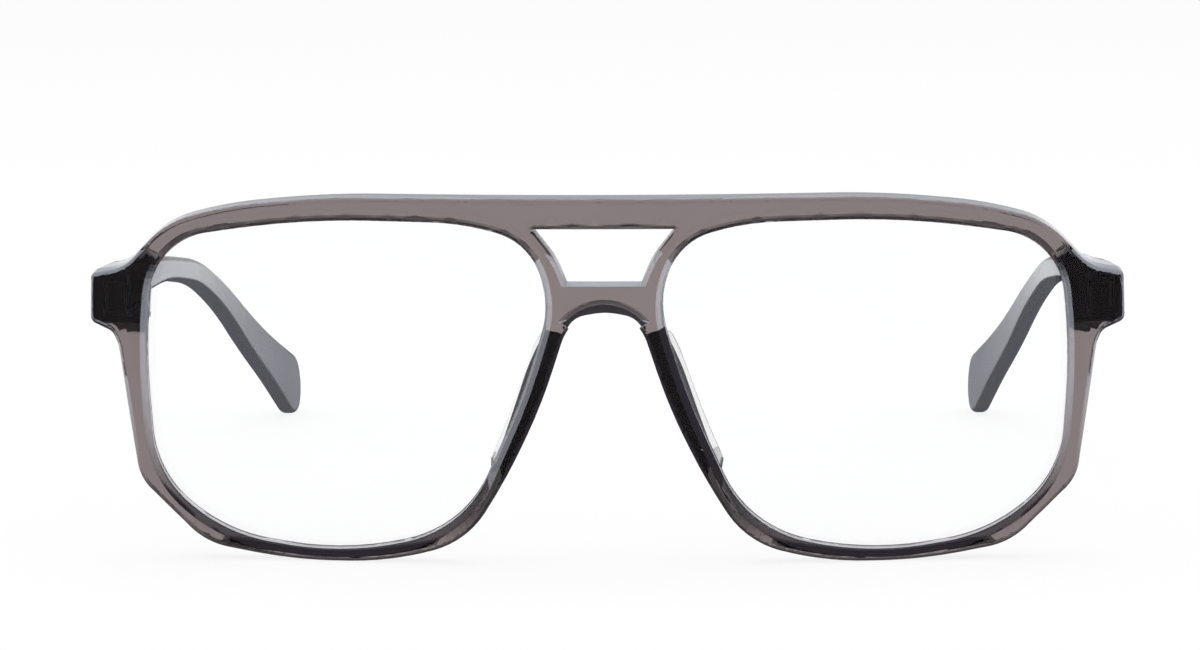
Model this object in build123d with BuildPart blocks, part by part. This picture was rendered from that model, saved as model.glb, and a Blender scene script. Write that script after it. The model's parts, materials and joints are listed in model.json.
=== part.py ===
from build123d import *
import math
import os

# A pair of acetate spectacles with a double bridge, standing with the temples
# open on the lowest points of the rims and of the temple tips.
# +X is the wearer's left, +Y points back along the temples, +Z is up.
# Lengths are in millimetres and angles in degrees.

# The lens openings, round which the rest of the front is drawn, in its own plane
opening_width = 56.1
opening_height = 47.0
opening_gap = 16.2
opening_sill = 1.5
opening_bevel = 1.0

# One opening's outline, as shares of its width from the nose side and of its
# height, each with how far its corner is rounded
opening_shares = [
    (0.043, 0.9445, 0.98),
    (0.203, 0.999, 0.98),
    (0.603, 1.006, 0.98),
    (0.978, 0.930, 0.98),
    (1.008, 0.605, 0.98),
    (0.987, 0.212, 0.98),
    (0.811, 0.039, 0.98),
    (0.508, -0.011, 0.98),
    (0.210, 0.074, 0.98),
    (0.055, 0.493, 0.98),
    (-0.012, 0.763, 0.98),
]

# The front
front_thickness = 4.2
front_curve_radius = 320.0
front_lean = 4.0
outer_edge_round = 0.8
rear_edge_round = 0.4
edge_break_angle = 45.0
apex_height_share = 0.5
overrun = 3.0

# Half of the front's outline, top to nose arch, as shares of the opening's
# width and height like the opening's own outline
outline_shares = [
    (0.5344, 1.0744, 1.00),
    (0.7874, 1.0411, 1.00),
    (0.9500, 0.9857, 0.90),
    (1.0571, 0.8449, 0.90),
    (1.1423, 0.8239, 0.25),
    (1.1462, 0.6797, 0.50),
    (1.0894, 0.6509, 0.70),
    (1.0758, 0.6143, 0.60),
    (1.0300, 0.2053, 0.35),
    (0.8635, 0.0113, 0.50),
    (0.6416, -0.0319, 0.95),
    (0.4054, -0.0297, 0.95),
    (0.2054, 0.0335, 0.98),
    (0.1047, 0.2253, 0.98),
    (0.0139, 0.4520, 0.98),
    (-0.0450, 0.6676, 0.80),
    (-0.0722, 0.7138, 0.90),
]
arch_top_share = 0.7219
arch_top_roundness = 0.95

# The arch under the lower bridge bar slopes up to a wider one on the face
arch_radius = 7.1
arch_slope = 30.0
arch_bevel = 1.1
arch_half_angle = 54.0

# The hole between the two bridge bars, with its outline as shares of its own
# width from the middle and of its height
bridge_hole_flare = 3.7
bridge_hole_sill_share = 0.8181
bridge_hole_height_share = 0.1660
bridge_hole_bevel = 0.6
bridge_hole_shares = [
    (0.500, 1.000, 0.12),
    (0.330, 0.450, 0.95),
    (0.260, 0.000, 0.00),
]

# The lenses and their groove
lens_thickness = 1.8
lens_rear_lip = 0.7
lens_edge_break = 0.3
groove_depth = 0.6
lens_clearance = 0.05

# The end blocks behind the front's outer ends, which carry the hinges
hinge_height_share = 0.749
block_below_hinge = 3.7
block_above_hinge = 4.9
end_block_depth = 3.0
end_block_setback = 0.6
end_sweep_ahead = 0.7
end_sweep = 1.8

# The nose pads
pad_depth = 6.5
pad_root = 2.0
pad_edge_round = 0.4
pad_length_share = 0.4681
pad_sill_share = 0.2106
pad_rear_length_share = 0.86
# Pad corners down the nose side and up the lens side: the share of the pad's
# length, then the places of the corner at the rim and at the rear face, as
# shares of the opening's width out from its nose side
pad_corner_shares = [
    (1.00, -0.0560, -0.0180, 0.80),
    (0.52, 0.0050, 0.0420, 0.95),
    (0.04, 0.1030, 0.1227, 0.80),
    (0.00, 0.1444, 0.1530, 0.80),
    (0.34, 0.1000, 0.1030, 0.95),
    (0.75, 0.0476, 0.0534, 0.95),
    (0.88, 0.0230, 0.0390, 0.90),
    (1.00, 0.0000, 0.0170, 0.80),
]

# The temples, as they stand open behind the joint
temple_reach = 131.0
temple_above_hinge = 4.4
temple_thickness = 3.6
temple_inset = 3.6
temple_edge_round = 0.9
temple_toe_in = 11.8
joint_gap = 0.15

# The blade seen from the side: the share of the reach, then the shares of the
# rise at which its top and bottom edges lie
blade_side_shares = [
    (0.000, 1.000, 0.837),
    (0.106, 0.968, 0.848),
    (0.244, 0.928, 0.838),
    (0.458, 0.833, 0.739),
    (0.633, 0.677, 0.567),
    (0.863, 0.369, 0.184),
]
blade_roundness = 0.9
# The rounded tip, as shares of the reach and of the rise, with its roundness
tip_shares = [
    (0.990, 0.225, 0.95),
    (1.005, 0.095, 0.95),
    (0.992, 0.000, 0.95),
    (0.962, 0.000, 0.95),
]
# The blade seen from above: the share of the reach, the share of the toe-in
# by which its middle has moved in, and the share of its full thickness
blade_plan_shares = [
    (0.000, 0.000, 1.000),
    (0.077, 0.014, 0.890),
    (0.153, 0.071, 0.860),
    (0.672, 0.386, 0.793),
    (1.010, 1.000, 0.715),
]

# The wire core of each temple
core_height = 1.3
core_width = 0.9
core_last_share = 0.86
core_point_length = 5.0

# The hinges
hinge_inset = 6.5
knuckle_count = 5
knuckle_height = 0.9
knuckle_gap = 0.05
knuckle_radius = 1.1
knuckle_relief = 0.15
leaf_thickness = 0.8
leaf_clearance = 0.1
front_leaf_height = 4.0
front_shoe_width = 3.0
front_shoe_depth = 2.4
front_shoe_height = 3.4
front_shoe_reach = 4.2
temple_leaf_length = 9.0
temple_leaf_height = 3.6
temple_shoe_start = 3.0
temple_shoe_length = 3.5
temple_shoe_depth = 1.9
temple_shoe_height = 3.0
shoe_tooth = 0.2
shoe_tooth_count = 3

# The hinge screws
screw_radius = 0.65
screw_clearance = 0.04
screw_head_radius = 1.0
screw_head_height = 0.5
screw_slot_width = 0.3
screw_slot_depth = 0.25
screw_tail = 0.2


# Places that follow from the sizes
half_width = opening_gap / 2 + max(row[0] for row in outline_shares) * opening_width
front_height = opening_sill + max(row[1] for row in outline_shares) * opening_height
lean_sin = math.sin(math.radians(front_lean))
lean_cos = math.cos(math.radians(front_lean))
apex_height = front_height * apex_height_share
blank_radius = math.hypot(half_width, front_height / 2) + overrun


def sagitta(radius_out, depth=0.0):
    """How far the curved surface lies behind its apex plane."""
    surface_radius = front_curve_radius - depth
    return front_curve_radius - math.sqrt(surface_radius**2 - radius_out**2)


blank_depth = sagitta(blank_radius, front_thickness) + overrun

# The joint lies behind the front's curved ends
joint_depth = sagitta(half_width) + front_thickness + end_block_depth
end_sweep_start = sagitta(half_width) - end_sweep_ahead

# The foot of the front lies so that the whole stands centred on the origin
foremost_height = min(front_height, apex_height + front_curve_radius * lean_sin)
foremost = foremost_height * lean_sin - sagitta(abs(foremost_height - apex_height))
front_y = (foremost - joint_depth - temple_reach) / 2
joint_y = front_y + joint_depth
temple_start = joint_y + joint_gap

# The leaning, curved front is let down until its rims reach the ground
rim_foot_share = min(outline_shares, key=lambda row: row[1])[0]
rim_foot_out = opening_gap / 2 + rim_foot_share * opening_width
front_drop = sagitta(math.hypot(rim_foot_out, apex_height)) * lean_sin

hinge_x = half_width - hinge_inset
blade_middle_x = half_width - temple_inset
hinge_centre_height = opening_sill + hinge_height_share * opening_height
temple_rise = hinge_centre_height + temple_above_hinge
lens_depth = front_thickness - lens_rear_lip - lens_thickness
front_plane = Plane(
    origin=(0, front_y, -front_drop), x_dir=(1, 0, 0), z_dir=(0, -lean_cos, -lean_sin)
)


def rounded_outline(corners, roundness):
    """A closed line whose corners are arcs, as large as their sides and roundness allow."""
    count = len(corners)
    points = [Vector(*corner) for corner in corners]
    radii = []
    for i in range(count):
        before = points[i - 1] - points[i]
        after = points[(i + 1) % count] - points[i]
        turn = 180 - before.get_angle(after)
        reach = roundness[i] * min(before.length, after.length) / 2
        radii.append(reach / math.tan(math.radians(turn) / 2))
    with BuildLine() as outline:
        FilletPolyline(*points, radius=radii, close=True)
    return outline.line


def curved_shell(front_depth, rear_depth):
    """The space between two depths behind the front's curved face."""
    down = -front_plane.y_dir
    apex = front_plane.from_local_coords((0, apex_height, 0))
    profile_plane = Plane(origin=apex, x_dir=down, z_dir=-front_plane.x_dir)
    middle = blank_radius / 2
    with BuildPart() as shell:
        with BuildSketch(profile_plane):
            with BuildLine():
                face_arc = ThreePointArc(
                    (0, -sagitta(0, front_depth)),
                    (middle, -sagitta(middle, front_depth)),
                    (blank_radius, -sagitta(blank_radius, front_depth)),
                )
                rear_arc = ThreePointArc(
                    (0, -sagitta(0, rear_depth)),
                    (middle, -sagitta(middle, rear_depth)),
                    (blank_radius, -sagitta(blank_radius, rear_depth)),
                )
                Line(face_arc @ 0, rear_arc @ 0)
                Line(face_arc @ 1, rear_arc @ 1)
            make_face()
        revolve(axis=Axis(apex, front_plane.z_dir))
    return shell.part


def front_place(across, up):
    """A place on the front, out from an opening's nose side and up from its sill."""
    return (opening_gap / 2 + across * opening_width, opening_sill + up * opening_height)


def mirrored_pairs(corners):
    """Corners of the wearer's left half, followed by those of the right half."""
    return corners + [(-across, up) for across, up in reversed(corners)]


def opening_outline(side, grow=0):
    """One lens opening's outline, or the same outline grown all round."""
    corners = [
        (side * out, height)
        for out, height in (front_place(across, up) for across, up, _ in opening_shares)
    ]
    with BuildSketch() as outline:
        make_face(rounded_outline(corners, [row[2] for row in opening_shares]))
        if grow:
            offset(amount=grow)
    return outline.sketch


def lens_space(side, grow, clearance):
    """The space of one lens, grown round its edge and cleared on both faces."""
    outline = opening_outline(side, grow)
    faces = curved_shell(lens_depth - clearance, lens_depth + lens_thickness + clearance)
    with BuildPart() as space:
        with BuildSketch(front_plane.offset(overrun)):
            add(outline)
        extrude(amount=-(overrun + blank_depth))
        add(faces, mode=Mode.INTERSECT)
    return space.part


def upright_box(near, far, low, high):
    """A box between two plan corners and two heights."""
    middle = ((near[0] + far[0]) / 2, (near[1] + far[1]) / 2, (low + high) / 2)
    with BuildPart() as box:
        with Locations(middle):
            Box(abs(far[0] - near[0]), abs(far[1] - near[1]), high - low)
    return box.part


def upright_cylinder(radius, low, high):
    """A cylinder on the wearer's left hinge axis between two heights."""
    with BuildPart() as cylinder:
        with Locations((hinge_x, joint_y, (low + high) / 2)):
            Cylinder(radius, high - low)
    return cylinder.part


# The front's outlines
half_corners = [front_place(across, up) for across, up, _ in outline_shares]
half_roundness = [row[2] for row in outline_shares]
outline_corners = mirrored_pairs(half_corners)
arch_top = opening_sill + arch_top_share * opening_height
outline_corners.insert(len(half_corners), (0, arch_top))
outline_roundness = half_roundness + [arch_top_roundness] + half_roundness[::-1]
with BuildSketch() as front_outline:
    make_face(rounded_outline(outline_corners, outline_roundness))

bridge_hole_width = opening_gap + bridge_hole_flare
bridge_hole_sill = opening_sill + bridge_hole_sill_share * opening_height
bridge_hole_height = bridge_hole_height_share * opening_height
hole_half = [
    (across * bridge_hole_width, bridge_hole_sill + up * bridge_hole_height)
    for across, up, _ in bridge_hole_shares
]
hole_roundness = [row[2] for row in bridge_hole_shares]
with BuildSketch() as bridge_hole:
    make_face(rounded_outline(mirrored_pairs(hole_half), hole_roundness + hole_roundness[::-1]))

openings = {side: opening_outline(side) for side in (1, -1)}

# The front's blank: a curved sheet cut to its outline, with its edges finished
front_shell = curved_shell(0, front_thickness)
with BuildPart() as front_blank:
    with BuildSketch(front_plane.offset(overrun)):
        add(front_outline.sketch)
        add(openings.values(), mode=Mode.SUBTRACT)
        add(bridge_hole.sketch, mode=Mode.SUBTRACT)
    extrude(amount=-(overrun + blank_depth))
    add(front_shell, mode=Mode.INTERSECT)
    rear_face, front_face = sorted(
        front_blank.faces().filter_by(GeomType.SPHERE), key=lambda face: face.radius
    )
    hole_edge, *opening_edges = sorted(front_face.inner_wires(), key=lambda wire: wire.length)
    rear_edges = rear_face.edges()
    outer_edges = front_face.outer_wire().edges()
    chamfer([wire.edges() for wire in opening_edges], opening_bevel)
    chamfer(hole_edge.edges().sort_by(Axis.Z)[1:], bridge_hole_bevel)
    fillet(outer_edges, outer_edge_round)
    fillet(rear_edges, rear_edge_round)


def end_block():
    """The thick block behind the front's outer end, on the wearer's left."""
    block_depth = sagitta(half_width) + front_thickness / 2
    block_inner = opening_gap / 2
    block_height = block_below_hinge + block_above_hinge
    block_middle = (
        (block_inner + half_width) / 2,
        hinge_centre_height - block_below_hinge + block_height / 2,
    )
    joint_plane = Plane(origin=(0, joint_y, 0), x_dir=(1, 0, 0), z_dir=(0, 1, 0))
    with BuildPart() as block:
        with BuildSketch(front_plane.offset(-block_depth)):
            add(front_outline.sketch)
            with Locations(block_middle):
                Rectangle(half_width - block_inner, block_height, mode=Mode.INTERSECT)
            add(opening_outline(1, end_block_setback), mode=Mode.SUBTRACT)
            with Locations(((block_inner + block_middle[0]) / 2, block_middle[1])):
                Rectangle(block_middle[0] - block_inner, front_height, mode=Mode.SUBTRACT)
        extrude(amount=joint_depth, dir=(0, 1, 0))
        split(bisect_by=joint_plane, keep=Keep.BOTTOM)
    return block.part


def end_sweep_cutter():
    """What the swept outer side of the front's left end takes away."""
    start_y = front_y + end_sweep_start
    slope = end_sweep / (joint_depth - end_sweep_start)
    far_y = joint_y + overrun
    with BuildPart() as cutter:
        with BuildSketch(Plane.XY.offset(-overrun)):
            with BuildLine():
                Polyline(
                    (half_width, start_y),
                    (half_width + overrun, start_y),
                    (half_width + overrun, far_y),
                    (half_width - slope * (far_y - start_y), far_y),
                    close=True,
                )
            make_face()
        extrude(amount=front_height + 2 * overrun)
    return cutter.part


# The hinges, on the wearer's left
hinge_height = knuckle_count * knuckle_height + (knuckle_count - 1) * knuckle_gap
hinge_low = hinge_centre_height - hinge_height / 2
hinge_high = hinge_centre_height + hinge_height / 2


def knuckle_levels(first):
    """The height ranges of every other knuckle, from the given one up."""
    pitch = knuckle_height + knuckle_gap
    lows = [hinge_low + i * pitch for i in range(first, knuckle_count, 2)]
    return [(low, low + knuckle_height) for low in lows]


def toothed_block(length, depth, height):
    """A block with saw teeth along both long sides, rooted on its lower face."""
    step = depth / shoe_tooth_count
    half = length / 2
    side = []
    for i in range(shoe_tooth_count):
        side += [(half, i * step), (half - shoe_tooth, (i + 1) * step)]
    corners = side + [(-across, up) for across, up in reversed(side)]
    with BuildPart() as block:
        with BuildSketch(Plane.XY.offset(-height / 2)):
            with BuildLine():
                Polyline(*corners, close=True)
            make_face()
        extrude(amount=height)
    return block.part


def hinge_half(first, leaf, arms, shoe):
    """A leaf, its shoe and its own knuckles, cleared round the other half's."""
    own, other = knuckle_levels(first), knuckle_levels(1 - first)
    knuckles = [upright_cylinder(knuckle_radius, low, high) for low, high in own]
    cleared = [
        upright_cylinder(knuckle_radius + leaf_clearance, low - knuckle_gap, high + knuckle_gap)
        for low, high in other
    ]
    bore = upright_cylinder(screw_radius + screw_clearance, 0, front_height)
    with BuildPart() as half:
        add(leaf)
        add(cleared, mode=Mode.SUBTRACT)
        add(arms)
        add(knuckles)
        add(shoe)
        add(bore, mode=Mode.SUBTRACT)
    return half.part


def front_hinge():
    """The hinge half that is sunk into the front's end block."""
    shoe_outer = hinge_x + front_shoe_reach
    half_leaf = front_leaf_height / 2
    leaf = upright_box(
        (hinge_x, joint_y - leaf_thickness),
        (shoe_outer, joint_y),
        hinge_centre_height - half_leaf,
        hinge_centre_height + half_leaf,
    )
    shoe_place = Plane(
        origin=(shoe_outer - front_shoe_width / 2, joint_y - leaf_thickness, hinge_centre_height),
        x_dir=(-1, 0, 0),
        z_dir=(0, 0, 1),
    )
    shoe = shoe_place.location * toothed_block(front_shoe_width, front_shoe_depth, front_shoe_height)
    return hinge_half(0, leaf, [], shoe)


def temple_hinge():
    """The hinge half that is sunk into the temple's inner side."""
    inner = blade_middle_x - temple_thickness / 2
    half_leaf = temple_leaf_height / 2
    leaf = upright_box(
        (inner, temple_start),
        (inner + leaf_thickness, joint_y + temple_leaf_length),
        hinge_centre_height - half_leaf,
        hinge_centre_height + half_leaf,
    )
    arms = [
        upright_box(
            (hinge_x, temple_start),
            (inner + leaf_thickness, joint_y + knuckle_radius),
            low,
            high,
        )
        for low, high in knuckle_levels(1)
    ]
    shoe_middle = joint_y + temple_shoe_start + temple_shoe_length / 2
    shoe_place = Plane(
        origin=(inner + leaf_thickness, shoe_middle, hinge_centre_height),
        x_dir=(0, 1, 0),
        z_dir=(0, 0, -1),
    )
    shoe = shoe_place.location * toothed_block(
        temple_shoe_length, temple_shoe_depth, temple_shoe_height
    )
    return hinge_half(1, leaf, arms, shoe)


def hinge_relief():
    """The space that the knuckles and the screw need in the plastic round them."""
    low = hinge_low - screw_tail - knuckle_relief
    high = hinge_high + screw_head_height + knuckle_relief
    reach = knuckle_radius + knuckle_relief
    with BuildPart() as relief:
        add(upright_cylinder(reach, low, high))
        add(upright_box(
            (opening_gap, joint_y - reach), (hinge_x, joint_y + reach), low, high
        ))
    return relief.part


def leaf_window():
    """The routed window that lets the temple's leaf down flush."""
    inner = blade_middle_x - temple_thickness / 2
    half_leaf = temple_leaf_height / 2
    return upright_box(
        (hinge_x, joint_y),
        (inner, joint_y + temple_leaf_length),
        hinge_centre_height - half_leaf,
        hinge_centre_height + half_leaf,
    )


def hinge_screw():
    """The hinge's pin: a slotted screw that goes down through every knuckle."""
    tail = hinge_low - screw_tail
    head_top = hinge_high + screw_head_height
    with BuildPart() as screw:
        add(upright_cylinder(screw_radius, tail, hinge_high))
        add(upright_cylinder(screw_head_radius, hinge_high, head_top))
        with Locations((hinge_x, joint_y, head_top - screw_slot_depth / 2)):
            Box(2 * screw_head_radius, screw_slot_width, screw_slot_depth, mode=Mode.SUBTRACT)
        chamfer(screw.faces().sort_by(Axis.Z)[0].edges(), screw_tail)
    return screw.part


def plan_outline(width, full_width):
    """The blade's or the core's outline seen from above."""
    sides = ([], [])
    for along, inward, thickness in blade_plan_shares:
        y = temple_start + along * temple_reach
        middle = blade_middle_x - inward * temple_toe_in
        half = (thickness if full_width else 1) * width / 2
        sides[0].append((middle + half, y))
        sides[1].append((middle - half, y))
    corners = sides[0] + sides[1][::-1]
    roundness = [0] + [blade_roundness] * (len(sides[0]) - 2) + [0]
    with BuildSketch() as outline:
        make_face(rounded_outline(corners, roundness + roundness))
    return outline.sketch


def from_both_views(side_outline, plan):
    """The solid that has one outline from the side and another from above."""
    with BuildPart() as solid:
        with BuildSketch(Plane.YZ):
            add(side_outline)
        extrude(amount=half_width + overrun)
        with BuildSketch(Plane.XY.offset(-overrun)):
            add(plan)
        extrude(amount=temple_rise + 2 * overrun, mode=Mode.INTERSECT)
    return solid.part


def temple_blank():
    """The temple's plastic blade before anything is let into it."""
    top = [(temple_start + a * temple_reach, t * temple_rise) for a, t, _ in blade_side_shares]
    bottom = [(temple_start + a * temple_reach, b * temple_rise) for a, _, b in blade_side_shares]
    tip = [(temple_start + a * temple_reach, u * temple_rise) for a, u, _ in tip_shares]
    edge_roundness = [0] + [blade_roundness] * (len(top) - 1)
    roundness = edge_roundness + [row[2] for row in tip_shares] + edge_roundness[::-1]
    with BuildSketch() as side_outline:
        make_face(rounded_outline(top + tip + bottom[::-1], roundness))
    blank = from_both_views(side_outline.sketch, plan_outline(temple_thickness, True))
    with BuildPart() as blade:
        add(blank)
        front_end = blade.faces().sort_by(Axis.Y)[0]
        corners = front_end.vertices()
        long_edges = [
            edge
            for edge in blade.edges()
            if edge not in front_end.edges() and any(end in corners for end in edge.vertices())
        ]
        fillet(long_edges, temple_edge_round)
    return blade.part


def temple_core():
    """The wire that stiffens the temple, pointed at its rear end."""
    middle = [
        (temple_start + a * temple_reach, (t + b) * temple_rise / 2)
        for a, t, b in blade_side_shares
    ]
    (bend_y, bend_z), (last_y, last_z) = middle[-2:]
    shoulder_share = core_last_share - core_point_length / math.hypot(last_y - bend_y, last_z - bend_z)
    point, shoulder = (
        (bend_y + (last_y - bend_y) * share, bend_z + (last_z - bend_z) * share)
        for share in (core_last_share, shoulder_share)
    )
    line = middle[:-1] + [shoulder]
    top = [(y, z + core_height / 2) for y, z in line]
    bottom = [(y, z - core_height / 2) for y, z in line]
    roundness = [0] + [blade_roundness] * (len(line) - 2) + [0]
    with BuildSketch() as side_outline:
        make_face(rounded_outline(
            top + [point] + bottom[::-1], roundness + [0] + roundness[::-1]
        ))
    shoe_end = joint_y + temple_shoe_start + temple_shoe_length
    wire = from_both_views(side_outline.sketch, plan_outline(core_width, False))
    with BuildPart() as core:
        add(wire)
        split(bisect_by=Plane(origin=(0, shoe_end, 0), z_dir=(0, 1, 0)), keep=Keep.TOP)
    return core.part


def nose_pad():
    """The pad behind the nose side of the wearer's left rim."""
    def corner(along, across, length_share):
        up = pad_sill_share + (0.5 + (along - 0.5) * length_share) * pad_length_share
        return front_place(across, up)

    root = [corner(row[0], row[1], 1) for row in pad_corner_shares]
    rear = [corner(row[0], row[2], pad_rear_length_share) for row in pad_corner_shares]
    roundness = [row[3] for row in pad_corner_shares]
    ahead = curved_shell(-overrun, front_thickness)
    with BuildPart() as pad:
        with BuildSketch(front_plane.offset(-pad_root)):
            make_face(rounded_outline(root, roundness))
        with BuildSketch(front_plane.offset(-(front_thickness + pad_depth))) as rear_sketch:
            make_face(rounded_outline(rear, roundness))
        loft(ruled=True)
        rear_outline = pad.faces().sort_by(Axis(front_plane.origin, front_plane.z_dir))[0]
        fillet(rear_outline.edges(), pad_edge_round)
        add(ahead, mode=Mode.SUBTRACT)
    return pad.part


block = end_block()
sweep_cutter = end_sweep_cutter()
hinge_front = front_hinge()
hinge_temple = temple_hinge()
relief = hinge_relief()
window = leaf_window()
core = temple_core()

arch_rise = front_thickness * math.tan(math.radians(arch_slope))
arch_place = Plane(
    origin=front_plane.from_local_coords((0, arch_top + arch_rise - arch_radius, 0)),
    x_dir=front_plane.x_dir,
    z_dir=front_plane.z_dir,
)
arch_slope_share = math.tan(math.radians(arch_slope))
arch_slope_direction = arch_place.z_dir + arch_place.y_dir * arch_slope_share


def arch_sector(radius):
    """The sector of the nose arch that its slope or its bevel cuts away."""
    side = 2 * radius
    across = side * math.tan(math.radians(arch_half_angle))
    with BuildSketch() as sector:
        Circle(radius)
        with BuildLine():
            Polyline((0, 0), (across, side), (-across, side), close=True)
        make_face(mode=Mode.INTERSECT)
    return sector.sketch


with BuildPart() as front_frame:
    add(front_blank.part)
    for side in (1, -1):
        placed = block if side > 0 else mirror(block, about=Plane.YZ, mode=Mode.PRIVATE)
        add(placed)
    for side in (1, -1):
        for tool in (sweep_cutter, relief, hinge_front):
            placed = tool if side > 0 else mirror(tool, about=Plane.YZ, mode=Mode.PRIVATE)
            add(placed, mode=Mode.SUBTRACT)
        add(lens_space(side, groove_depth, lens_clearance), mode=Mode.SUBTRACT)
    with BuildSketch(arch_place):
        add(arch_sector(arch_radius))
    extrude(
        amount=-(front_thickness + overrun), dir=arch_slope_direction, mode=Mode.SUBTRACT
    )
    with BuildSketch(arch_place):
        with Locations((0, -arch_bevel * arch_slope_share)):
            add(arch_sector(arch_radius + arch_bevel))
    extrude(amount=-arch_bevel, taper=edge_break_angle, mode=Mode.SUBTRACT)

with BuildPart() as temple:
    add(temple_blank())
    add([relief, window, hinge_temple, core], mode=Mode.SUBTRACT)

with BuildPart() as lens:
    add(lens_space(1, groove_depth - lens_clearance, 0))
    chamfer(
        [edge for face in lens.faces().filter_by(GeomType.SPHERE) for edge in face.edges()],
        lens_edge_break,
    )

paired = {
    "lens": lens.part,
    "nose_pad": nose_pad(),
    "temple": temple.part,
    "temple_core": core,
    "hinge_front": hinge_front,
    "hinge_temple": hinge_temple,
    "hinge_screw": hinge_screw(),
}

os.makedirs("parts", exist_ok=True)
front_frame.part.label = "front_frame"
export_step(front_frame.part, "parts/front_frame.step")
for name, left in paired.items():
    for side in ("left", "right"):
        piece = left if side == "left" else mirror(left, about=Plane.YZ)
        piece.label = f"{name}_{side}"
        export_step(piece, f"parts/{name}_{side}.step")
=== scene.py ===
"""The look of a pair of acetate spectacles with a double bridge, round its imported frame."""

import json
import math

import bmesh
import bpy
from mathutils import Matrix, Vector


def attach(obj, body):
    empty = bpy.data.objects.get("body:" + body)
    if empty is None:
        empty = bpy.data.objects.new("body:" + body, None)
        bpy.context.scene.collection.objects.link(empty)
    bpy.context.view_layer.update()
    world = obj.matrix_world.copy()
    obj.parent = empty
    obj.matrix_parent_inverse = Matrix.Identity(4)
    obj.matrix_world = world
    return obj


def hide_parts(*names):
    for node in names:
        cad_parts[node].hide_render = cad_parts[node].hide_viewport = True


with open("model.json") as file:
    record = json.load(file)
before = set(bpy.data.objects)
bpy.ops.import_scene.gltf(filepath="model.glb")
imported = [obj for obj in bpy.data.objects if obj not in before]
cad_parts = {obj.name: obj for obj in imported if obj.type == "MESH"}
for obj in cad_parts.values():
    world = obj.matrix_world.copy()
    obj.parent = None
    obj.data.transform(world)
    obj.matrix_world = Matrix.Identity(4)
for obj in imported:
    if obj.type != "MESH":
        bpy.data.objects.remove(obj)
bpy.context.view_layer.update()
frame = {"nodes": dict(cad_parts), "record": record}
slots = {row["node"]: row["material_slot"] for row in frame["record"]["subparts"]}
MM = 0.001


# ---- Shader building ----

# Where the Mix node keeps its colour sockets
MIX_SHARE, MIX_FIRST, MIX_SECOND, MIX_RESULT = 0, 6, 7, 2


class Value:
    """A number that varies over a surface. Arithmetic on it adds Math nodes."""

    def __init__(self, shader, socket):
        self.shader = shader
        self.socket = socket

    def combine(self, operation, first, second):
        sockets = {0: first, 1: second}
        return self.shader.value("ShaderNodeMath", 0, {"operation": operation}, sockets)

    def __add__(self, other):
        return self.combine("ADD", self, other)

    def __radd__(self, other):
        return self.combine("ADD", other, self)

    def __rsub__(self, other):
        return self.combine("SUBTRACT", other, self)

    def __mul__(self, other):
        return self.combine("MULTIPLY", self, other)

    def __rmul__(self, other):
        return self.combine("MULTIPLY", other, self)

    def __or__(self, other):
        """The larger of the two."""
        return self.combine("MAXIMUM", self, other)


class Shader:
    """One node tree and the method that adds every node to it."""

    def __init__(self, tree):
        self.tree = tree
        tree.nodes.clear()

    def add(self, kind, settings=None, sockets=None):
        """Adds a node: its settings first, then the values or links of its sockets.

        A Value links its own socket, and a node its first output.
        """
        node = self.tree.nodes.new(kind)
        for name, setting in (settings or {}).items():
            setattr(node, name, setting)
        for name, given in (sockets or {}).items():
            if isinstance(given, Value):
                given = given.socket
            elif isinstance(given, bpy.types.Node):
                given = given.outputs[0]
            if isinstance(given, bpy.types.NodeSocket):
                self.tree.links.new(given, node.inputs[name])
            else:
                node.inputs[name].default_value = given
        return node

    def value(self, kind, output, settings=None, sockets=None):
        """Adds a node and gives one of its outputs as a Value."""
        return Value(self, self.add(kind, settings, sockets).outputs[output])

    def noise(self, scale, detail=2.0, stretch=(1.0, 1.0, 1.0), distortion=0.0):
        """Soft noise on Object coordinates, in cycles to the metre."""
        place = self.add("ShaderNodeTexCoord").outputs["Object"]
        mapped = self.add("ShaderNodeMapping", sockets={"Vector": place, "Scale": stretch})
        sockets = {"Vector": mapped, "Scale": scale, "Detail": detail, "Distortion": distortion}
        return self.value("ShaderNodeTexNoise", "Fac", sockets=sockets)

    def ranged(self, value, start, end, least, most, interpolation="LINEAR"):
        """A Value that goes from least to most as another goes from start to end."""
        sockets = {0: value, 1: start, 2: end, 3: least, 4: most}
        return self.value(
            "ShaderNodeMapRange", 0, {"interpolation_type": interpolation}, sockets
        )

    def blend(self, share, first, second):
        """One colour turning into another by a Value."""
        sockets = {MIX_SHARE: share, MIX_FIRST: (*first, 1.0), MIX_SECOND: (*second, 1.0)}
        return self.add("ShaderNodeMix", {"data_type": "RGBA"}, sockets).outputs[MIX_RESULT]

    def mix(self, share, first, second):
        """One surface turning into another by a Value."""
        return self.add("ShaderNodeMixShader", sockets={0: share, 1: first, 2: second})

    def bump(self, height, strength, distance):
        """A Normal from a height, with its depth in metres."""
        sockets = {"Height": height, "Strength": strength, "Distance": distance}
        return self.add("ShaderNodeBump", sockets=sockets)


def new_material(name):
    """A material with an empty tree, and the Shader that fills it."""
    material = bpy.data.materials.new(name)
    material.use_nodes = True
    return material, Shader(material.node_tree)


def light_path(shader, *names):
    """One where the ray is of any of the named kinds. A refracted ray is of two."""
    node = shader.add("ShaderNodeLightPath")
    found = Value(shader, node.outputs[names[0]])
    for name in names[1:]:
        found = found | Value(shader, node.outputs[name])
    return found


# ---- The finishes ----

WHITE = (1.0, 1.0, 1.0)
PLASTIC_IOR = 1.49

# The paint of a polished piece: how far a face is painted with shade, a dark layer standing in
# for light lost inside the plastic, and how far with a painted sheen, a pale layer standing in
# for the lamps' highlights and reflections
PAINTED_SHADE = "painted_shade"
PAINTED_SHEEN = "painted_sheen"
PAINTED_SHEEN_COLOUR = (0.8, 0.84, 0.95)

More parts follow.
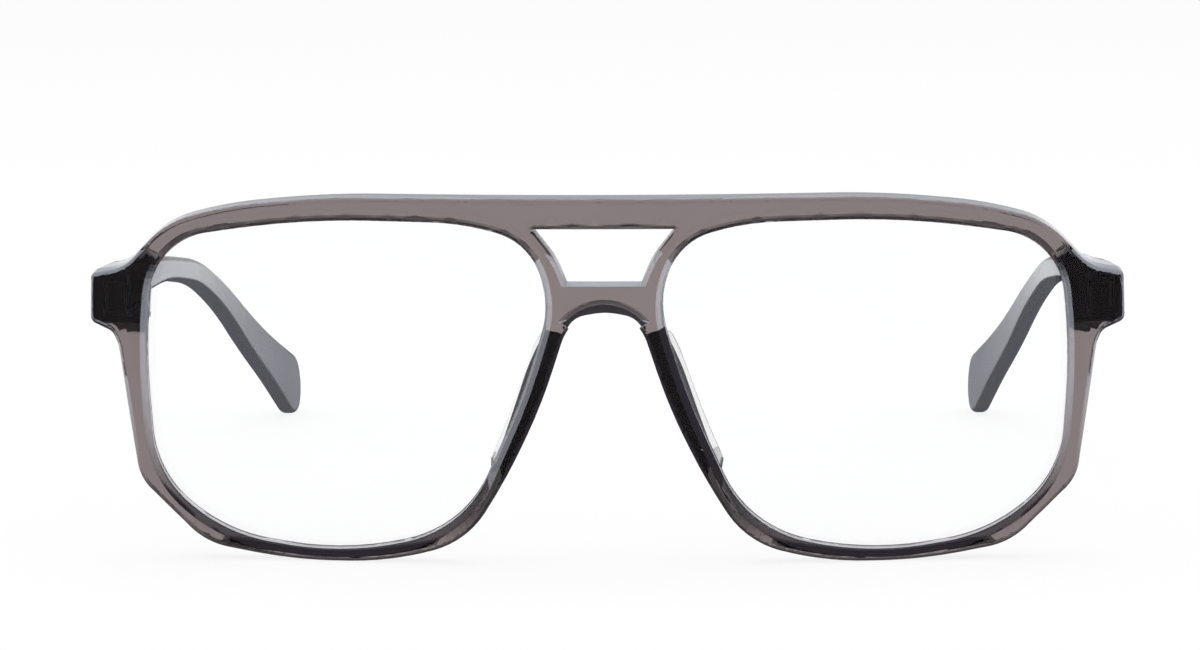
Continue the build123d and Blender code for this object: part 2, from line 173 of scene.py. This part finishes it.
# Acetate mirrors the room weakly, and its marks are clouds, waves and scuffs, each
# with its scale in cycles to the metre
MIRROR_LEVEL = 0.2
MIRROR_TINT = (0.3, 0.28, 0.3, 1.0)
CLOUD_SCALE = 90.0
CLOUD_DISTORTION = 0.6
WAVE_SCALE = 260.0
WAVE_STRENGTH = 0.25
WAVE_DEPTH = 0.02 * MM
SCUFF_SCALE = 2400.0
SCUFF_STRETCH = (1.0, 1.0, 0.25)
SCUFF_ROUGHNESS = 0.03
# How far the clouds sway the two ends of a painted shade's fade
FADE_SWAY = 12.0 * MM
# Keeps the most absorbed colour of the plastic a little above black
DENSITY_MARGIN = 1.02

COATING_TINT = (0.985, 0.99, 1.0)
LENS_POLISH = 0.004
SMEAR_SCALE = 60.0
SMEAR_ROUGHNESS = 0.006
# What a lens leaves of the lamps' light
LENS_PASSED = (0.95, 0.95, 0.96, 1.0)

TARNISH_SCALE = 500.0
MARK_SCALE = 3000.0
MARK_ROUGHNESS = 0.15
MARK_STRENGTH = 0.3
MARK_DEPTH = 0.01 * MM


def acetate(name, passed, depth, mottle, polish, dark, shade_fade=None):
    """Polished acetate that passes the given colour through the given depth of it.

    Its faces carry painted shade, a layer of the dark colour, and a painted sheen,
    a pale layer, as far as their piece's paint says, and a shade fade paints more shade over it
    between two places from front to back.
    """
    material, shader = new_material(name)
    clouds = shader.noise(CLOUD_SCALE, 3.0, distortion=CLOUD_DISTORTION)
    waves = shader.noise(WAVE_SCALE, 1.0)
    scuffs = shader.noise(SCUFF_SCALE, 4.0, SCUFF_STRETCH)
    painted_shade = shader.value("ShaderNodeAttribute", "Fac", {"attribute_name": PAINTED_SHADE})
    painted_sheen = shader.value("ShaderNodeAttribute", "Fac", {"attribute_name": PAINTED_SHEEN})
    if shade_fade:
        place = shader.add("ShaderNodeTexCoord").outputs["Object"]
        back = shader.value("ShaderNodeSeparateXYZ", "Y", sockets={0: place})
        painted_shade = painted_shade | shader.ranged(back + FADE_SWAY * clouds, *shade_fade)
    finished = shader.add(
        "ShaderNodeBsdfPrincipled",
        sockets={
            "Base Color": shader.blend(clouds, mottle, WHITE),
            "Roughness": polish + SCUFF_ROUGHNESS * scuffs,
            "IOR": PLASTIC_IOR,
            "Specular IOR Level": MIRROR_LEVEL,
            "Specular Tint": MIRROR_TINT,
            "Transmission Weight": 1.0,
            "Normal": shader.bump(waves, WAVE_STRENGTH, WAVE_DEPTH),
        },
    )
    # Painted shade and painted sheen: a dark and a pale diffuse layer mixed over the plastic by
    # the piece's paint
    for share, colour in ((painted_shade, dark), (painted_sheen, PAINTED_SHEEN_COLOUR)):
        painted_light_layer = shader.add("ShaderNodeBsdfDiffuse", sockets={"Color": (*colour, 1.0)})
        finished = shader.mix(share, finished, painted_light_layer)
    # Each colour falls to its passed share over the depth, so its density is a logarithm
    densities = [-math.log(share) / depth for share in passed]
    thickest = max(densities) * DENSITY_MARGIN
    colour = (*(1 - density / thickest for density in densities), 1.0)
    inside = shader.add(
        "ShaderNodeVolumeAbsorption", sockets={"Color": colour, "Density": thickest}
    )
    shader.add("ShaderNodeOutputMaterial", sockets={"Surface": finished, "Volume": inside})
    return material


def clear_lens():
    """A clear plastic lens with a faint coating, which lets the lamps through."""
    material, shader = new_material("clear_lens")
    smears = shader.noise(SMEAR_SCALE, 2.0)
    surface = shader.add(
        "ShaderNodeBsdfPrincipled",
        sockets={
            "Base Color": shader.blend(smears, COATING_TINT, WHITE),
            "Roughness": LENS_POLISH + SMEAR_ROUGHNESS * smears,
            "IOR": PLASTIC_IOR,
            "Transmission Weight": 1.0,
        },
    )
    open_to_lamps = shader.add("ShaderNodeBsdfTransparent", sockets={"Color": LENS_PASSED})
    mixed = shader.mix(light_path(shader, "Is Shadow Ray"), surface, open_to_lamps)
    shader.add("ShaderNodeOutputMaterial", sockets={"Surface": mixed})
    return material


def drawn_metal(name, light, dark, roughness, grain):
    """Metal with fine drawn or milled marks along one direction."""
    material, shader = new_material(name)
    marks = shader.noise(MARK_SCALE, 3.0, grain)
    tarnish = shader.noise(TARNISH_SCALE, 3.0)
    surface = shader.add(
        "ShaderNodeBsdfPrincipled",
        sockets={
            "Base Color": shader.blend(tarnish, dark, light),
            "Metallic": 1.0,
            "Roughness": roughness + MARK_ROUGHNESS * marks,
            "Normal": shader.bump(marks, MARK_STRENGTH, MARK_DEPTH),
        },
    )
    shader.add("ShaderNodeOutputMaterial", sockets={"Surface": surface})
    return material


# By the record's material slot. Dark is the colour of the painted shade. A shade fade is its
# start, its end, and the painted shade at each
finishes = {
    "front_acetate": acetate(
        "front_acetate",
        passed=(0.236, 0.199, 0.2),
        depth=4.3 * MM,
        mottle=(0.93, 0.9, 0.89),
        polish=0.01,
        dark=(0.03, 0.025, 0.034),
    ),
    "temple_acetate": acetate(
        "temple_acetate",
        passed=(0.32, 0.31, 0.4),
        depth=3.0 * MM,
        mottle=(0.9, 0.9, 0.94),
        polish=0.02,
        dark=(0.014, 0.014, 0.03),
        shade_fade=(5.0 * MM, 70.0 * MM, 0.12, 0.8),
    ),
    "pad_acetate": acetate(
        "pad_acetate",
        passed=(0.6, 0.58, 0.6),
        depth=4.3 * MM,
        mottle=(0.95, 0.94, 0.94),
        polish=0.01,
        dark=(0.012, 0.01, 0.014),
    ),
    "demo_lens": clear_lens(),
    "hinge_metal": drawn_metal(
        "hinge_metal",
        light=(0.86, 0.68, 0.44),
        dark=(0.7, 0.55, 0.38),
        roughness=0.22,
        grain=(1.0, 1.0, 0.1),
    ),
    "screw_steel": drawn_metal(
        "screw_steel",
        light=(0.78, 0.77, 0.75),
        dark=(0.62, 0.62, 0.62),
        roughness=0.2,
        grain=(0.2, 1.0, 1.0),
    ),
    "core_wire": drawn_metal(
        "core_wire",
        light=(0.72, 0.7, 0.66),
        dark=(0.55, 0.54, 0.53),
        roughness=0.25,
        grain=(1.0, 0.05, 1.0),
    ),
}

for node_name, slot in slots.items():
    materials = frame["nodes"][node_name].data.materials
    materials.clear()
    materials.append(finishes[slot])


# ---- The painted shade and sheen of the polished pieces ----

# The way that the leaning front looks
FRONT_LEAN = math.radians(4)
AHEAD = Vector((0.0, -math.cos(FRONT_LEAN), -math.sin(FRONT_LEAN)))

# The least share of a face's normal that looks ahead, where it is flat on the front,
# on the thin round of the outer edge, or on a bevel
FLAT = 0.97
THIN_ROUND = 0.85
BEVEL = 0.4
LOW_BEVEL = 0.35
ARCH_BEVEL = 0.6
PAD_FRONT = 0.8
# The share of a normal along an axis past which a face of an end block looks that way
BLOCK_SQUARE = 0.5
# The shares of a normal over which a face comes to count as looking down or up
DOWNWARD = (0.15, 0.45)
UPWARD = (0.15, 0.6)
TEMPLE_TURN = (0.1, 0.5)
ARCH_DOWNWARD = 0.3

# The end blocks: their inner side, front and foot, and the reaches between which a
# face that looks sideways is a wall, of the opening or of the hinge's pocket, painted pale with
# sheen
BLOCK_INNER = 50.0 * MM
BLOCK_FRONT = -62.0 * MM
BLOCK_FOOT = 31.0 * MM
BLOCK_WALLS = (60.0 * MM, 70.5 * MM)
# The nose sides of the rims that carry the pads, painted dark with shade where the pads lie
# behind
PAD_ROOT_REACH = 19.0 * MM
PAD_ROOT_HEIGHTS = (11.6 * MM, 33.4 * MM)
# The rims' rear just below the pads, painted with shade near the nose and clear further out
PAD_FOOT_INNER = 12.0 * MM
PAD_FOOT_FADE = (16.0 * MM, 25.0 * MM)
PAD_FOOT_TOP = 14.5 * MM
# The arch over the nose, just above the pads' roots, painted with shade
ARCH_HEIGHTS = (33.4 * MM, 41.0 * MM)
# The rims' lower half, painted with shade and sheen, from its darkest height to where its paint
# has faded out
UNDERSIDE_FOOT = 9.0 * MM
UNDERSIDE_TOP = 26.0 * MM
# The sill of the hole between the bridge bars, painted with sheen
SILL_REACH = 14.0 * MM
SILL_HEIGHTS = (37.0 * MM, 43.0 * MM)
# The height at which the front's top edge starts, whose bevel is painted with shade
TOP_EDGE_FOOT = 44.0 * MM

# Each paint is a painted shade and a painted sheen
CLEAR = (0.0, 0.0)
BLOCK_PAINT = (0.9, 0.0)
BLOCK_TOP_PAINT = (0.0, 0.22)
BLOCK_WALL_PAINT = (0.0, 0.5)
PAD_ROOT_PAINT = (0.97, 0.0)
PAD_ROOT_BEVEL_PAINT = (0.0, 0.2)
PAD_ROOT_WALL_PAINT = (0.0, 0.5)
ARCH_PAINT = (0.94, 0.0)
ARCH_BEVEL_PAINT = (0.45, 0.0)
THIN_ROUND_PAINT = (0.45, 0.0)
PAD_FRONT_PAINT = (0.99, 0.0)

# The most painted shade or painted sheen of a place, and how much more of it a face that looks
# up or down gets
PAD_FOOT_SHADE = 0.8
LOW_BEVEL_SHADE, LOW_BEVEL_MORE = 0.2, 0.55
LOW_WALL_SHADE = 0.75
LOW_WALL_SHEEN = 0.5
SILL_SHEEN, SILL_MORE = 0.3, 0.3
TOP_UNDER_SHADE = 0.4
TOP_OVER_SHADE = 0.3
WALL_SHADE = 0.42
WALL_SHEEN, WALL_MORE = 0.25, 0.03
TEMPLE_UNDER_SHADE = 0.985
TEMPLE_OVER_SHADE = 0.5
TEMPLE_SIDE_SHEEN = 0.14


def eased(value, start, end):
    """Nought before the start, one past the end, and a soft step between."""
    share = min(max((value - start) / (end - start), 0.0), 1.0)
    return share * share * (3.0 - 2.0 * share)


def block_paint(middle, normal):
    """The painted shade and sheen of one face of an end block."""
    if normal.z > BLOCK_SQUARE:
        return BLOCK_TOP_PAINT
    if BLOCK_WALLS[0] < abs(middle.x) < BLOCK_WALLS[1] and abs(normal.x) > BLOCK_SQUARE:
        return BLOCK_WALL_PAINT
    return BLOCK_PAINT


def pad_root_paint(middle, normal, facing):
    """The painted shade and sheen of one face of a rim's nose side, painted dark with shade
    where the pad lies behind.
    """
    towards_nose = -normal.x * math.copysign(1.0, middle.x)
    if towards_nose > 0.0 or (middle.x > 0.0 and facing > BEVEL):
        return PAD_ROOT_PAINT
    return PAD_ROOT_BEVEL_PAINT if facing > BEVEL else PAD_ROOT_WALL_PAINT


def underside_paint(height, facing, below, above):
    """The painted shade and sheen of one face of the rims' lower half, which fades out upwards.
    """
    low = 1.0 - eased(height, UNDERSIDE_FOOT, UNDERSIDE_TOP)
    if facing > LOW_BEVEL:
        dark = LOW_BEVEL_SHADE + LOW_BEVEL_MORE * max(above, below)
        pale = 0.0
    else:
        dark = LOW_WALL_SHADE * below
        pale = LOW_WALL_SHEEN * (1.0 - below)
    return (
        low * dark + (1.0 - low) * WALL_SHADE * below,
        low * pale + (1.0 - low) * WALL_SHEEN,
    )


def front_paint(middle, normal):
    """The painted shade and sheen of one face of the front."""
    facing = normal.dot(AHEAD)
    reach, height = abs(middle.x), middle.z
    if reach > BLOCK_INNER and middle.y > BLOCK_FRONT and height > BLOCK_FOOT:
        return block_paint(middle, normal)
    if facing < -FLAT and reach > PAD_FOOT_INNER and height < PAD_FOOT_TOP:
        return (PAD_FOOT_SHADE * (1.0 - eased(reach, *PAD_FOOT_FADE)), 0.0)
    if abs(facing) > FLAT:
        return CLEAR
    if reach < PAD_ROOT_REACH:
        if PAD_ROOT_HEIGHTS[0] < height < PAD_ROOT_HEIGHTS[1]:
            return pad_root_paint(middle, normal, facing)
        if ARCH_HEIGHTS[0] < height < ARCH_HEIGHTS[1] and normal.z < -ARCH_DOWNWARD:
            return ARCH_BEVEL_PAINT if facing > ARCH_BEVEL else ARCH_PAINT
    below, above = eased(-normal.z, *DOWNWARD), eased(normal.z, *UPWARD)
    if height < UNDERSIDE_TOP:
        return underside_paint(height, facing, below, above)
    if reach < SILL_REACH and SILL_HEIGHTS[0] < height < SILL_HEIGHTS[1]:
        return (0.0, SILL_SHEEN + SILL_MORE * above)
    if height > TOP_EDGE_FOOT and facing > BEVEL:
        over = TOP_OVER_SHADE * above if facing > THIN_ROUND else 0.0
        return (max(TOP_UNDER_SHADE * below, over), 0.0)
    if facing > THIN_ROUND and normal.z > -DOWNWARD[0]:
        return THIN_ROUND_PAINT
    return (WALL_SHADE * below, (WALL_SHEEN + WALL_MORE * above) * (1.0 - below))


def temple_paint(middle, normal):
    """The painted shade and sheen of one face of a temple: shade on the faces that look down or
    up, sheen on its sides.
    """
    below, above = eased(-normal.z, *TEMPLE_TURN), eased(normal.z, *TEMPLE_TURN)
    return (
        max(TEMPLE_UNDER_SHADE * below, TEMPLE_OVER_SHADE * above),
        TEMPLE_SIDE_SHEEN * (1.0 - below - above),
    )


def pad_paint(middle, normal):
    """The painted shade of one face of a nose pad: dark on the faces that look ahead."""
    return PAD_FRONT_PAINT if normal.dot(AHEAD) > PAD_FRONT else CLEAR


# ---- The polished pieces ----

# Each node that a polished piece stands in for, with the piece's name and its paint of shade
# and sheen
POLISHED = {
    "front_frame": ("polished_front", front_paint),
    "temple_left": ("polished_temple_left", temple_paint),
    "temple_right": ("polished_temple_right", temple_paint),
    "nose_pad_left": ("polished_pad_left", pad_paint),
    "nose_pad_right": ("polished_pad_right", pad_paint),
}
SHARP_ANGLE = math.radians(25)
MERGE_WITHIN = 0.001 * MM
# How far a polished piece is drawn in, so that no face of it lies in another's
DRAWN_IN = 0.02 * MM


def body_of(node_name):
    """The body that a node rides on."""
    bodies = frame["record"]["behaviour"]["bodies"]
    return next(body for body, nodes in bodies.items() if node_name in nodes)


def polished_copy(node_name, name, paint):
    """The same solid, merged, smoothed and painted with shade and sheen, standing in for the
    node.
    """
    mesh = frame["nodes"][node_name].data.copy()
    loose = bmesh.new()
    loose.from_mesh(mesh)
    bmesh.ops.remove_doubles(loose, verts=loose.verts, dist=MERGE_WITHIN)
    loose.normal_update()
    for corner in loose.verts:
        corner.co -= corner.normal * DRAWN_IN
    loose.to_mesh(mesh)
    loose.free()
    painted = [paint(face.center, face.normal) for face in mesh.polygons]
    for attribute, values in zip((PAINTED_SHADE, PAINTED_SHEEN), zip(*painted)):
        mesh.attributes.new(attribute, "FLOAT", "FACE").data.foreach_set("value", values)
    mesh.shade_smooth()
    mesh.set_sharp_from_angle(angle=SHARP_ANGLE)
    draft = bpy.data.objects.new("draft", mesh)
    bpy.context.scene.collection.objects.link(draft)
    weighted = draft.modifiers.new("weighted", "WEIGHTED_NORMAL")
    weighted.keep_sharp = True
    evaluated = draft.evaluated_get(bpy.context.evaluated_depsgraph_get())
    piece = bpy.data.objects.new(name, bpy.data.meshes.new_from_object(evaluated))
    bpy.data.objects.remove(draft)
    bpy.context.scene.collection.objects.link(piece)
    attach(piece, body_of(node_name))
    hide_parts(node_name)


for node_name, (name, paint) in POLISHED.items():
    polished_copy(node_name, name, paint)


# ---- The camera ----

CAMERA_PLACE = Vector((22.86, -761.07, 126.02)) * MM
CAMERA_YAW = math.radians(1.951)
CAMERA_PITCH = math.radians(7.61)
CAMERA_ROLL = math.radians(-0.36)
SENSOR_WIDTH = 36.0
# The focal length over the frame's width, both in pixels of the photograph
FOCAL_SHARE = 5019 / 1200
NEAREST_SEEN = 10.0 * MM


def add_camera():
    """The camera at the photograph's place, looking slightly down and to one side."""
    ahead_level = Vector((-math.sin(CAMERA_YAW), math.cos(CAMERA_YAW), 0.0))
    level_right = Vector((math.cos(CAMERA_YAW), math.sin(CAMERA_YAW), 0.0))
    up = Vector((0.0, 0.0, 1.0))
    ahead = ahead_level * math.cos(CAMERA_PITCH) - up * math.sin(CAMERA_PITCH)
    tilted_up = ahead_level * math.sin(CAMERA_PITCH) + up * math.cos(CAMERA_PITCH)
    right = level_right * math.cos(CAMERA_ROLL) + tilted_up * math.sin(CAMERA_ROLL)
    top = tilted_up * math.cos(CAMERA_ROLL) - level_right * math.sin(CAMERA_ROLL)
    lens = bpy.data.cameras.new("camera")
    lens.sensor_width = SENSOR_WIDTH
    lens.lens = SENSOR_WIDTH * FOCAL_SHARE
    lens.clip_start = NEAREST_SEEN
    camera = bpy.data.objects.new("camera", lens)
    turned = Matrix((right, top, -ahead)).transposed().to_4x4()
    camera.matrix_world = Matrix.Translation(CAMERA_PLACE) @ turned
    bpy.context.scene.collection.objects.link(camera)
    bpy.context.scene.camera = camera


# ---- The studio ----

FLOOR_HALF = 4.0
FLOOR_COLOURS = ((0.9, 0.9, 0.9), (0.93, 0.93, 0.93))
FLOOR_CLOUD_SCALE = 8.0
FLOOR_SHADOW_SHARE = 0.15
ROOM_LIGHT = 0.75
WALL_LIGHT = 0.36
CEILING_LIGHT = 0.08
CAMERA_SIDE_LIGHT = 0.12
# The heights, as sines of their angles, between which the white gives way to
# the wall's grey, and the wall to the dark ceiling
SWEEP_EDGE = [math.sin(math.radians(angle)) for angle in (3, 16)]
CEILING_EDGE = [math.sin(math.radians(angle)) for angle in (30, 60)]
# How far round the side behind the camera reaches, which polished faces mirror as dark
CAMERA_SIDE_EDGE = (-0.9, -0.3)
# Each lamp's place and size in metres, and its power in watts
SOFTBOXES = {
    "overhead_softbox": ((0.0, 0.1, 1.1), (1.2, 0.8), 5.0),
    "left_softbox": ((-1.0, -0.5, 0.6), (0.5, 0.9), 1.6),
    "right_softbox": ((1.0, -0.5, 0.6), (0.5, 0.9), 1.6),
}
LAMP_TARGET = Vector((0.0, 0.0, 0.03))


def add_floor():
    """A pale floor that the camera sees as white, with a soft shadow."""
    mesh = bpy.data.meshes.new("floor")
    quarters = ((-1, -1), (1, -1), (1, 1), (-1, 1))
    corners = [(x * FLOOR_HALF, y * FLOOR_HALF, 0.0) for x, y in quarters]
    mesh.from_pydata(corners, [], [(0, 1, 2, 3)])
    floor = bpy.data.objects.new("floor", mesh)
    bpy.context.scene.collection.objects.link(floor)
    material, shader = new_material("pale_floor")
    paper = shader.noise(FLOOR_CLOUD_SCALE, 2.0)
    plain = shader.add(
        "ShaderNodeBsdfDiffuse", sockets={"Color": shader.blend(paper, *FLOOR_COLOURS)}
    )
    white = shader.add("ShaderNodeEmission", sockets={"Strength": 1.0})
    seen = light_path(shader, "Is Camera Ray", "Is Glossy Ray", "Is Transmission Ray")
    mixed = shader.mix(seen * (1 - FLOOR_SHADOW_SHARE), plain, white)
    shader.add("ShaderNodeOutputMaterial", sockets={"Surface": mixed})
    mesh.materials.append(material)


def add_room():
    """A white sweep all round under grey walls and a dark ceiling, and even light."""
    world = bpy.data.worlds.new("studio")
    bpy.context.scene.world = world
    world.use_nodes = True
    shader = Shader(world.node_tree)
    outward = shader.add("ShaderNodeTexCoord").outputs["Generated"]
    height = shader.value("ShaderNodeSeparateXYZ", "Z", sockets={0: outward})
    away = shader.value("ShaderNodeSeparateXYZ", "Y", sockets={0: outward})
    sweep = shader.ranged(height, *SWEEP_EDGE, 1.0, WALL_LIGHT, "SMOOTHSTEP")
    wall = shader.ranged(height, *CEILING_EDGE, 1.0, CEILING_LIGHT / WALL_LIGHT, "SMOOTHSTEP")
    near = shader.ranged(away, *CAMERA_SIDE_EDGE, CAMERA_SIDE_LIGHT, 1.0, "SMOOTHSTEP")
    seen = light_path(shader, "Is Camera Ray")
    through = light_path(shader, "Is Transmission Ray")
    mirrored = light_path(shader, "Is Glossy Ray") * (1 - through)
    strength = (
        seen
        + (through + mirrored * near) * sweep * wall
        + (1 - (seen | through | mirrored)) * ROOM_LIGHT
    )
    background = shader.add(
        "ShaderNodeBackground", sockets={"Color": (*WHITE, 1.0), "Strength": strength}
    )
    shader.add("ShaderNodeOutputWorld", sockets={"Surface": background})


def add_softbox(name, place, size, watts):
    """A square lamp aimed at the middle of the object."""
    lamp = bpy.data.lights.new(name, "AREA")
    lamp.shape = "RECTANGLE"
    lamp.size, lamp.size_y = size
    lamp.energy = watts
    box = bpy.data.objects.new(name, lamp)
    place = Vector(place)
    turned = (place - LAMP_TARGET).to_track_quat("Z", "Y").to_matrix().to_4x4()
    box.matrix_world = Matrix.Translation(place) @ turned
    bpy.context.scene.collection.objects.link(box)


add_camera()
add_floor()
add_room()
for name, (place, size, watts) in SOFTBOXES.items():
    add_softbox(name, place, size, watts)

bpy.context.scene.view_settings.view_transform = "Standard"
